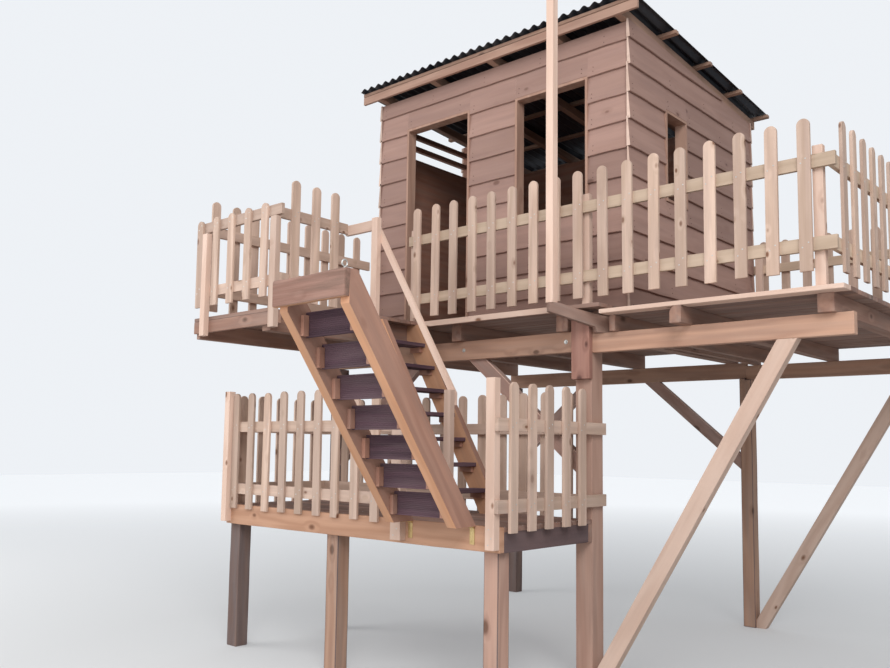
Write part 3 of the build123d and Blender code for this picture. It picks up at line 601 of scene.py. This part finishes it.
def picket(height, seed):
    """A round-headed picket in the XZ plane, its foot at z 0 and its face at y 0, grain upright."""
    bm = bmesh.new()
    radius, flats, shares = picket_width / 2, 16, (0.25, 0.5, 0.75)
    outline = [(-radius, 0.0), (radius, 0.0)] + [(radius, (height - radius) * share) for share in shares]
    for i in range(flats + 1):
        angle = math.pi * i / flats
        outline.append((radius * math.cos(angle), height - radius + radius * math.sin(angle)))
    outline += [(-radius, (height - radius) * share) for share in reversed(shares)]
    face = bm.faces.new([bm.verts.new((x, 0.0, z)) for x, z in outline])
    pushed = bmesh.ops.extrude_face_region(bm, geom=[face])
    bmesh.ops.translate(bm, vec=(0, picket_thick, 0),
                        verts=[v for v in pushed["geom"] if isinstance(v, bmesh.types.BMVert)])
    bmesh.ops.recalc_face_normals(bm, faces=bm.faces)
    rim = [e for e in bm.edges if abs(e.verts[0].co.y - e.verts[1].co.y) < 1e-6
           or all(abs(vert.co.z) < 1e-6 for vert in e.verts)]
    bmesh.ops.bevel(bm, geom=rim, offset=0.0028, segments=2, profile=0.6, affect="EDGES", clamp_overlap=True)
    write_grain(bm, seed, along=Vector((0, 0, 1)))
    return mesh_from(bm, "picket")


def fence(node, side, first, pitch, height, rail_feet, seed, margin):
    """One panel: pickets in a row, two rails behind them, and the screws through every picket."""
    along, outward = sides[side]
    low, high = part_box(node)
    corner = Vector([(low if (along + outward * -1)[i] > 0 else high)[i] for i in range(2)] + [low.z])
    place = Matrix.Translation(corner) @ Matrix((along, -outward, Vector((0, 0, 1)))).transposed().to_4x4()
    length = abs((high - low).dot(along))
    count = int((length - margin - first - picket_width / 2 + 1e-4) // pitch) + 1
    panel = [grown(picket(height, seed), row, Count=count, Step=(pitch, 0.0, 0.0), Start=(first, 0.0, 0.0),
                   Drift=(0.003, 0.0005, 0.004), Lean=(0.0, 0.006, 0.0), Seed=seed, Finish=fence_wood)]
    for i, z in enumerate(rail_feet):
        rail = board((0, picket_thick, z), (length, picket_thick + rail_thick, z + rail_high), ease=0.0025,
                     waver=0.001, seed=seed + i * 7)
        rail.materials.append(rail_wood if node in upper_rails else fence_wood)
        panel.append(rail)
    made = joined(panel)
    made.transform(place)
    shown(node + "_panel", made, "house", [node])
    draw = random.Random(seed)
    return [(place @ Vector((first + i * pitch + dx + draw.uniform(-0.004, 0.004), -0.0004,
                             z + rail_high / 2 + dz + draw.uniform(-0.008, 0.008))), outward)
            for i in range(count) for z in rail_feet for dx, dz in ((-0.016, -0.014), (0.017, 0.016))]


# The height of a panel's pickets and the feet of its rails: the balcony's front is lower.
full_panel, low_panel = (0.9, (0.115, 0.6)), (0.69, (0.08, 0.59))
screws = []
for seed, (node, side, first, pitch, margin) in enumerate((
        ("front_fence", "front", 0.106, 0.192, 0.0), ("right_fence", "right", 0.144, 0.192, 0.0),
        ("rear_fence", "back", 0.144, 0.192, 0.0), ("balcony_front_fence", "front", 0.068, 0.205, 0.065),
        ("balcony_side_fence", "right", 0.192, 0.192, 0.0), ("balcony_left_fence", "left", 0.144, 0.192, 0.0),
        ("landing_front_fence", "front", 0.1045, 0.199, 0.090),
        ("landing_right_fence", "right", 0.135, 0.187, 0.215),
        ("landing_rear_fence", "back", 0.172, 0.192, 0.170),
        ("landing_left_fence", "left", 0.096, 0.187, 0.0375)), 21):
    panel_sizes = low_panel if node == "balcony_front_fence" else full_panel
    screws += fence(node, side, first, pitch, *panel_sizes, seed, margin)
# Screws also hold the gate post and the corner post to the landing's front.
post_face = -1.1352
screws += [(Vector((x, post_face, z)), Vector((0, -1, 0))) for x, z in
           ((-0.765, 1.002), (-0.735, 1.045), (0.020, 1.000), (0.042, 1.040), (0.024, 1.092))]
shown("fence_screws", fixed(screws, screw, zinc, 5), "house")
# The stays and posts take the pale timber all over, to match their whitish feet.
timbers("fence_posts", new_pale, round_edge=0.003)

# Landing's front edge
# A deep orange-tan plank along the front of the landing, with worn arrises and a little out of
# true. The fixed leaves of the flight's hinges are screwed to its face.
orange = wood("orange timber", (0.60, 0.345, 0.225), (0.42, 0.22, 0.135), (0.20, 0.09, 0.05), knots=0.3,
              weather=0.2, grey=(0.38, 0.24, 0.18))
timbers("landing_fascia", orange, round_edge=0.006, waver=0.004)

# Cabin walls
# Board walls behind the cladding, unpainted and dark inside, with a gap over the left one where
# two rails run across. What the door and the windows show of them is bare sawn timber.
wall_dark = wood("wall timber", (0.36, 0.17, 0.115), (0.23, 0.105, 0.07), (0.08, 0.04, 0.02), weather=0.25)
for node in ("front_wall_piers", "front_wall_panels", "right_wall_piers", "right_wall_panels", "rear_wall",
             "left_wall", "left_wall_uppers", "left_wall_rails"):
    timbers(node, wall_dark, round_edge=0.002, waver=0.0)

# Lapped boards
# Rough-sawn boards lapped over each other outside the walls, thick at the foot and thin at the
# head. Their lower edges keep some of the log's wane, and two nails hold them at every stud.
lapped = wood("lapped board", (0.40, 0.25, 0.205), (0.30, 0.178, 0.143), (0.17, 0.085, 0.062), knots=0.13,
              weather=0.45, grey=(0.27, 0.17, 0.147), relief=0.0014, rings=0.25, knot_size=1.5)
cut_end = wood("cut end", (0.72, 0.54, 0.45), (0.55, 0.38, 0.30), (0.24, 0.12, 0.07), knots=0.0,
               relief=0.0006)
course, thick_foot, thin_head, lap, least_course = 0.212, 0.030, 0.012, 0.020, 0.025
cab_low, cab_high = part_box("front_cladding")
right_low, right_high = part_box("right_cladding")
left_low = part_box("left_cladding")[0]
wall_foot = cab_low.z
roof_slope = math.tan(math.radians(4.3))
stud_pitch, nail_rises, thinnest, ring_pitch = 0.6, (0.035, 0.075), 0.012, 0.06
first_nail, last_nail, under_roof = 0.045, 0.04, 0.03


def roof_line(y):
    """Height of the wall tops, which follow the roof's slope."""
    return cab_high.z - (y - cab_low.y) * roof_slope


def lapped_boards(name, node, start, along, outward, length, openings, seed, ragged=0.0):
    """The courses of one wall, from its foot up to the roof, cut round its openings."""
    def reach(height):
        """How far the board's face stands out at that height of its course."""
        return thick_foot - (thick_foot - thin_head) * (height - z) / course

    bm = bmesh.new()
    axes, tint = bm.verts.layers.float_vector.new("grain"), bm.verts.layers.float.new("tint")
    draw = random.Random(seed)
    nails = []
    z = wall_foot
    index = 0
    while z < cab_high.z - 0.02:
        spans = [(random.Random(seed + index).uniform(0, ragged), length, z, z + course + lap)]
        for x0, x1, z0, z1 in openings:
            cut = []
            for a, b, foot, top in spans:
                if b <= x0 or a >= x1 or top <= z0 or foot >= z1:
                    cut.append((a, b, foot, top))
                    continue
                if a < x0:
                    cut.append((a, x0, foot, top))
                if b > x1:
                    cut.append((x1, b, foot, top))
                if foot < z0 - 0.01:
                    cut.append((max(a, x0), min(b, x1), foot, z0))
                if top - lap > z1 + 0.01:
                    cut.append((max(a, x0), min(b, x1), z1, top))
            spans = cut
        for a, b, foot, top in spans:
            phase = Vector((draw.uniform(0, 90), draw.uniform(0, 90), 0))
            value = draw.random()
            cols = max(2, int((b - a) / ring_pitch))
            places = [a + (b - a) * i / cols for i in range(cols + 1)]
            places = [s for s in places if roof_line((start + along * s).y) > foot + least_course]
            if len(places) < 2:
                continue
            a, b = places[0], places[-1]
            rings = []
            for s in places:
                low = foot
                if foot == z:
                    low += (0.006 * noise.noise(phase + Vector((s * 1.1, 0, 0)))
                            + 0.0045 * noise.noise(phase + Vector((s * 5.0, 3, 0))) + 0.002)
                head = max(min(top, roof_line((start + along * s).y) - 0.003), low + thinnest)
                bow = 0.0022 * noise.noise(phase + Vector((s * 1.7, 9, 0)))
                out_low, out_head = reach(low) + bow, reach(head) + bow * 0.5
                belly = (out_low + out_head) / 2 + 0.001 * noise.noise(phase + Vector((s * 3.0, 20, 0)))
                section = [(0.0, low + 0.001), (out_low - 0.004, low), (out_low, low + 0.004),
                           (belly, (low + head) / 2), (max(out_head, 0.003), head), (0.0, head)]
                ring = []
                for out, height in section:
                    point = start + along * s + outward * out
                    vert = bm.verts.new((point.x, point.y, height))
                    vert[axes] = (s + index * 0.7, out, height - z - 0.1)
                    vert[tint] = value
                    ring.append(vert)
                rings.append(ring)
            for near, far in zip(rings, rings[1:]):
                skin(bm, near, far)
            for ring in (rings[0][::-1], rings[-1]):
                bm.faces.new(ring).material_index = 1
            for stud in range(1 + int((b - a) / stud_pitch)):
                s = min(a + first_nail + stud * stud_pitch + draw.uniform(-0.01, 0.01), b - last_nail)
                for rise in nail_rises:
                    height = foot + rise + draw.uniform(-0.006, 0.006)
                    if b - a > 0.1 and height < min(top, roof_line((start + along * s).y)) - under_roof:
                        point = start + along * s + outward * (reach(height) + 0.0008)
                        nails.append((Vector((point.x, point.y, height)), outward))
        z += course
        index += 1
    bmesh.ops.recalc_face_normals(bm, faces=bm.faces)
    shown(name, mesh_from(bm, name, lapped, cut_end), "house", [node])
    return nails


door_low, door_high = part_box("door_frame")
window_low, window_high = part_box("window_frame")
side_low, side_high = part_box("side_window_frame")
upper_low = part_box("left_wall_uppers")[0]
rails_low, rails_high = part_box("left_wall_rails")
core_y0, core_y1 = right_low.y, right_high.y
front_x0 = left_low.x + thick_foot
front_short, past_front, above_all = 0.012, 0.027, 9.0
# Doors and windows are cut as (from, to, foot, head) along the wall.
nails = lapped_boards("front_lapped_boards", "front_cladding", Vector((front_x0, core_y0, 0)),
                      Vector((1, 0, 0)), Vector((0, -1, 0)), cab_high.x - thick_foot - front_short - front_x0,
                      [(door_low.x - front_x0, door_high.x - front_x0, 0.0, door_high.z),
                       (window_low.x - front_x0, window_high.x - front_x0, window_low.z, window_high.z)], 41)
side_start = cab_low.y - past_front
nails += lapped_boards("right_lapped_boards", "right_cladding",
                       Vector((right_high.x - thick_foot, side_start, 0)),
                       Vector((0, 1, 0)), Vector((1, 0, 0)), core_y1 - side_start,
                       [(side_low.y - side_start, side_high.y - side_start, side_low.z, side_high.z)], 43,
                       ragged=0.014)
nails += lapped_boards("rear_lapped_boards", "rear_cladding", Vector((cab_high.x, core_y1, 0)),
                       Vector((-1, 0, 0)), Vector((0, 1, 0)), cab_high.x - cab_low.x, [], 45)
nails += lapped_boards("left_lapped_boards", "left_cladding", Vector((front_x0, core_y1, 0)),
                       Vector((0, -1, 0)), Vector((-1, 0, 0)), core_y1 - cab_low.y - 0.001,
                       [(core_y1 - rails_high.y, core_y1 - rails_low.y, upper_low.z, above_all)], 47)
rust = metal("nail iron", 0.7, 90, (0.10, 0.07, 0.06), (0.20, 0.11, 0.07), 0.6)
nail = turned_head("nail", [(0.004, -0.001), (0.004, 0.0006), (0.0028, 0.0014)], 8)
shown("cladding_nails", fixed(nails, nail, rust, 8), "house")

# Door and window linings
# Planed boards line the doorway and both windows and stand flush with the lapped boards. There
# is no door leaf and no glass.
trim = wood("lining timber", (0.50, 0.31, 0.23), (0.34, 0.19, 0.14), (0.16, 0.08, 0.05), weather=0.1)
for node in ("door_frame", "window_frame", "side_window_frame"):
    timbers(node, trim, round_edge=0.0025)

# Roof
# Sawn rafters on the wall tops, battens across them, a lath along the front, and a sheet of
# blue-black corrugated steel nailed down through its crests.
roof_wood = wood("roof timber", (0.40, 0.25, 0.18), (0.25, 0.14, 0.10), (0.12, 0.06, 0.04), weather=0.2)
timbers("rafters", roof_wood, round_edge=0.003)
timbers("roof_battens", roof_wood, round_edge=0.002)
timbers("eave_lath", trim, round_edge=0.002)
coated = metal("coated steel sheet", 0.35, 3.5, (0.020, 0.024, 0.035), (0.075, 0.080, 0.090), (0.32, 0.65),
               detail=6, ends=(0.35, 0.72), stretch=(1.0, 0.25, 1.0))
sheet_low, sheet_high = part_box("roof_sheet")
waves, steps, wave_high, gauge, clearance = 31, 12, 0.026, 0.0012, 0.0005
wave_pitch = (sheet_high.x - sheet_low.x) / waves
fall = (sheet_high.y - sheet_low.y) * roof_slope
bm = bmesh.new()
profile = [(wave_pitch * i / steps, wave_high * (0.5 - 0.5 * math.cos(math.tau * i / steps)))
           for i in range(steps + 1)]
ends = []
for y, drop in ((sheet_low.y, 0.0), (sheet_high.y, fall)):
    base = sheet_high.z - wave_high - gauge - drop - clearance
    ends.append([bm.verts.new((x, y, base + z)) for x, z in profile]
                + [bm.verts.new((x, y, base + z + gauge)) for x, z in reversed(profile)])
count = len(ends[0])
# A wave is left open at both sides, where the next one is welded to it.
for k in range(count):
    if k not in (steps, count - 1):
        bm.faces.new((ends[0][k], ends[0][(k + 1) % count], ends[1][(k + 1) % count], ends[1][k]))
for ring in ends:
    for k in range(steps):
        bm.faces.new((ring[k], ring[k + 1], ring[count - 2 - k], ring[count - 1 - k]))
bmesh.ops.recalc_face_normals(bm, faces=bm.faces)
sheet = grown(mesh_from(bm, "one wave"), row, Count=waves, Step=(wave_pitch, 0.0, 0.0),
              Start=(sheet_low.x, 0.0, 0.0), Seed=1, Finish=coated)
bm = bmesh.new()
bm.from_mesh(sheet)
bmesh.ops.remove_doubles(bm, verts=bm.verts, dist=1e-4)
bmesh.ops.recalc_face_normals(bm, faces=bm.faces)
bm.to_mesh(sheet)
bm.free()
shown("roof_corrugated_sheet", sheet, "house", ["roof_sheet"])
roof_nail = turned_head("roof_nail", [(0.011, -0.002), (0.012, 0.0), (0.0085, 0.0028), (0.004, 0.0042)], 10)
batten_lines, nailed_every, off_roof = (0.3425, 0.9563, 1.57, 2.1838, 2.7975), 4, Vector((0, 0.075, 0.997))
roof_nails = [(Vector((sheet_low.x + wave_pitch * (k + 0.5), y,
                       sheet_high.z - (y - sheet_low.y) * roof_slope)), off_roof)
              for k in range(1, waves, nailed_every) for y in batten_lines]
shown("roof_sheet_nails", fixed(roof_nails, roof_nail, zinc, 9), "house")

# Fixed flight
# Two plank stringers from the landing to the upper deck, worn at their sides and fresh at their
# edges, with grooved composite treads let in over cleats, newels and a slanting handrail.
worn_side = wood("stringer side", (0.43, 0.24, 0.175), (0.30, 0.155, 0.11), (0.18, 0.085, 0.05), knots=0.3,
                 weather=0.55, grey=(0.28, 0.175, 0.14))
fresh_cut = wood("fresh edge", (0.70, 0.375, 0.22), (0.52, 0.255, 0.14), (0.20, 0.09, 0.05), knots=0.2)


def on_edge(normal):
    """Whether a face of a stringer is one of its narrow edges."""
    return abs(normal.x) < 0.6


timbers("stair_stringers", [worn_side, fresh_cut], round_edge=0.003, fresh=on_edge)
cleat_red = wood("cleat timber", (0.46, 0.24, 0.17), (0.30, 0.14, 0.095), (0.14, 0.06, 0.04), weather=0.2)
timbers("stair_cleats", cleat_red, round_edge=0.002, step=1.0)
timbers("handrail", new_pale)
timbers("newels", new_pale)
timbers("stair_head_rail", new_pale)
composite = wood("composite tread", (0.150, 0.080, 0.100), (0.078, 0.041, 0.056), (0.05, 0.03, 0.03),
                 knots=0.0, streaks=0.8, weather=0.5, grey=(0.17, 0.12, 0.125), relief=0.0006, rings=0.5,
                 knot_size=1.0, shine=0.35, bumpy=1.0)
grooves, groove_depth, plain_edge, chamfer = 12, 0.003, 0.006, 0.003
# Where a groove's two flanks start and end, as shares of the distance between grooves.
flanks = (0.22, 0.34, 0.66, 0.78)


def grooved_treads(name, node, body):
    """Extruded boards in place of the CAD treads, with grooves along both broad faces."""
    source, bm = cad_solids(node), bmesh.new()
    axes, tint = bm.verts.layers.float_vector.new("grain"), bm.verts.layers.float.new("tint")
    draw = random.Random(len(name))
    for group in islands(source):
        verts = once(v for f in group for v in f.verts)
        long = max((e for f in group for e in f.edges), key=lambda e: e.calc_length())
        u = (long.verts[1].co - long.verts[0].co).normalized()
        broad = max(group, key=lambda f: f.calc_area())
        w = broad.normal.copy()
        if w.z < 0:
            w.negate()
        v = w.cross(u)
        middle = sum((vert.co for vert in verts), Vector()) / len(verts)
        half = [max(abs((vert.co - middle).dot(axis)) for vert in verts) for axis in (u, v, w)]
        value = draw.random()
        pitch = (2 * half[1] - 2 * plain_edge) / grooves
        top = [(-half[1], half[2] - chamfer), (-half[1] + chamfer, half[2])]
        for i in range(grooves):
            x = -half[1] + plain_edge + i * pitch
            top += [(x + pitch * share, half[2] - sunk)
                    for share, sunk in zip(flanks, (0.0, groove_depth, groove_depth, 0.0))]
        top += [(half[1] - chamfer, half[2]), (half[1], half[2] - chamfer)]
        outline = top + [(-x, -z) for x, z in top]
        rings = []
        for end in (-1, 1):
            ring = []
            for y, z in outline:
                vert = bm.verts.new(middle + u * half[0] * end + v * y + w * z)
                vert[axes], vert[tint] = (half[0] * end, y, z), value
                ring.append(vert)
            rings.append(ring)
        skin(bm, *rings)
        bm.faces.new(rings[0])
        bm.faces.new(rings[1][::-1])
    bmesh.ops.recalc_face_normals(bm, faces=bm.faces)
    source.free()
    shown(name, mesh_from(bm, name, composite), body, [node])


grooved_treads("stair_grooved_treads", "stair_treads", "house")

# Hinged flight
# A second flight of the same make, hinged at the landing's front edge and kept raised. Its seven
# treads rest on red-brown cleats, and its header is an old rough plank, freshly cut underneath.
timbers("flight_stringers", [worn_side, fresh_cut], body="flight", round_edge=0.004,
        waver=0.002, fresh=on_edge)
timbers("flight_cleats", cleat_red, body="flight", round_edge=0.002, step=1.0)
header_wood = wood("header plank", (0.45, 0.262, 0.205), (0.29, 0.155, 0.118), (0.10, 0.05, 0.035), knots=0.2,
                   streaks=0.75, weather=0.95, grey=(0.17, 0.11, 0.085), relief=0.008)
timbers("flight_header", [header_wood, fresh_cut], body="flight", round_edge=0.007,
        waver=0.008, step=0.05, fresh=lambda normal: normal.z < -0.3)
grooved_treads("flight_grooved_treads", "flight_treads", "flight")

# Hinges and eye bolt
# Brass butt hinges at the flight's foot with three screws to a leaf, a galvanised eye bolt with
# its washer in the header, and the two bolt heads of the front beam.
brass = metal("brass", 0.85, 55, (0.42, 0.29, 0.11), (0.80, 0.62, 0.32), (0.50, 0.28))
for node in ("hinge_fixed_leaves", "hinge_moving_leaves"):
    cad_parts[node].data.materials.clear()
    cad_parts[node].data.materials.append(brass)
hinge_screws = {"house": [], "flight": []}
leaf_middles, pin_y, pin_z = (-0.661, -0.144), -1.087, 1.0925
fixed_face, moving_face, leaf_tilt = -1.0831, 1.0964, 0.017
for middle in leaf_middles:
    for side, from_pin in ((-0.007, 0.023), (0.007, 0.053), (-0.007, 0.084)):
        x, y = middle + side, pin_y - from_pin
        hinge_screws["house"].append((Vector((x, fixed_face, pin_z - from_pin)), Vector((0, -1, 0))))
        hinge_screws["flight"].append((Vector((x, y, moving_face + leaf_tilt * (y - pin_y))),
                                       Vector((0, leaf_tilt, -1))))
for body, places in hinge_screws.items():
    shown("hinge_screws_" + body, fixed(places, screw, brass, 6), body)

# Forged eye with a collar on a washer; the ring stands across the header.
bm = bmesh.new()
turned(bm, [(0.0128, -0.001), (0.0135, 0.0004), (0.0135, 0.0018), (0.0125, 0.0024)], 24)
turned(bm, [(0.0095, 0.002), (0.0095, 0.0046), (0.0070, 0.0066), (0.0058, 0.0110)], 20)
eye_radius, eye_wire, eye_height, turns, around = 0.018, 0.0048, 0.0285, 36, 12
loops = []
for i in range(turns):
    out = Vector((0, math.cos(math.tau * i / turns), math.sin(math.tau * i / turns)))
    loops.append([bm.verts.new(Vector((eye_wire * math.sin(math.tau * k / around), 0, eye_height))
                               + out * (eye_radius + eye_wire * math.cos(math.tau * k / around)))
                  for k in range(around)])
for i in range(turns):
    skin(bm, loops[i], loops[(i + 1) % turns])
bmesh.ops.recalc_face_normals(bm, faces=bm.faces)
washer_middle = (-0.139, -2.1626, 2.5033)
bmesh.ops.transform(bm, verts=bm.verts, matrix=Matrix.Translation(washer_middle)
                    @ Matrix.Rotation(leaf_tilt, 4, "X"))
shown("forged_eye_bolt", mesh_from(bm, "eye", zinc), "flight", ["eye_bolt"])
bolt_head = turned_head("bolt_head", [(0.017, -0.001), (0.017, 0.0022), (0.0155, 0.003), (0.0098, 0.003),
                                      (0.0098, 0.009), (0.0082, 0.0108)], 6)
beam_face, bolt_height = -0.0702, 2.32
bolts = [(Vector((x, beam_face, bolt_height)), Vector((0, -1, 0))) for x in (-1.088, -0.145)]
shown("beam_bolts", fixed(bolts, bolt_head, zinc, 4), "house")

# Heads of fixings are only patterns for the copies above.
for head in (screw, nail, roof_nail, bolt_head):
    bpy.data.objects.remove(head)
